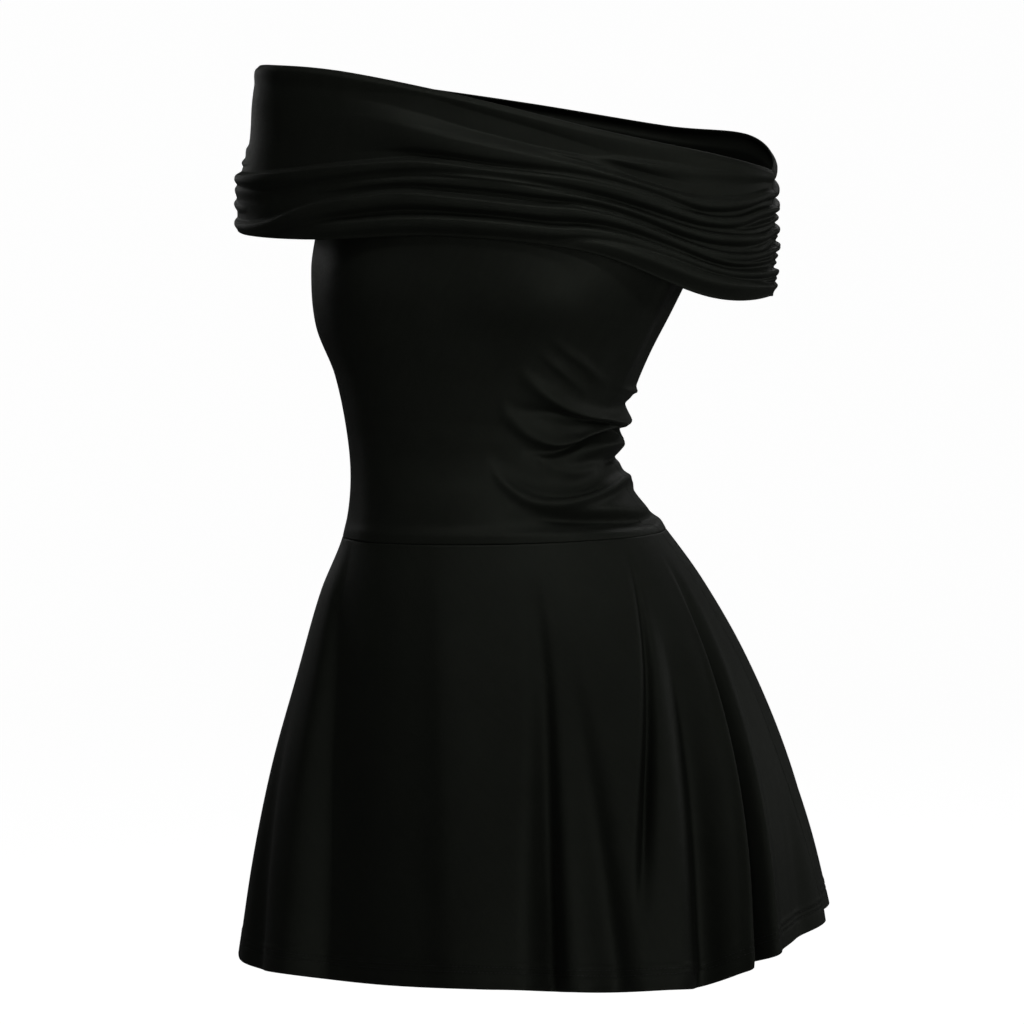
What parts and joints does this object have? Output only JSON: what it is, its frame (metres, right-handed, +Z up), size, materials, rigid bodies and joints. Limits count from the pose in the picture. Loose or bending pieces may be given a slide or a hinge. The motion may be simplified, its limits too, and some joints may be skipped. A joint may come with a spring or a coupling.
{
  "type": "off-the-shoulder skater dress",
  "caption": "Short off-the-shoulder dress with a wide draped collar round the upper arms, a fitted bodice and a flared skirt, in its worn pose.",
  "frame": {"origin": "middle of the torso's hollow at the height where the collar holds the upper arms, which is where the worn dress is held", "axes": "+Z up, the front faces -Y, and the wearer's left side is +X"},
  "size_m": [0.5464, 0.377, 0.7932],
  "materials": {
    "jersey": "black stretch jersey with a soft dull sheen"
  },
  "bodies": {
    "root": {"bodice_front": "jersey", "bodice_back": "jersey", "skirt_front": "jersey", "skirt_back": "jersey", "collar_front": "jersey", "collar_back": "jersey"}
  },
  "joints": []
}
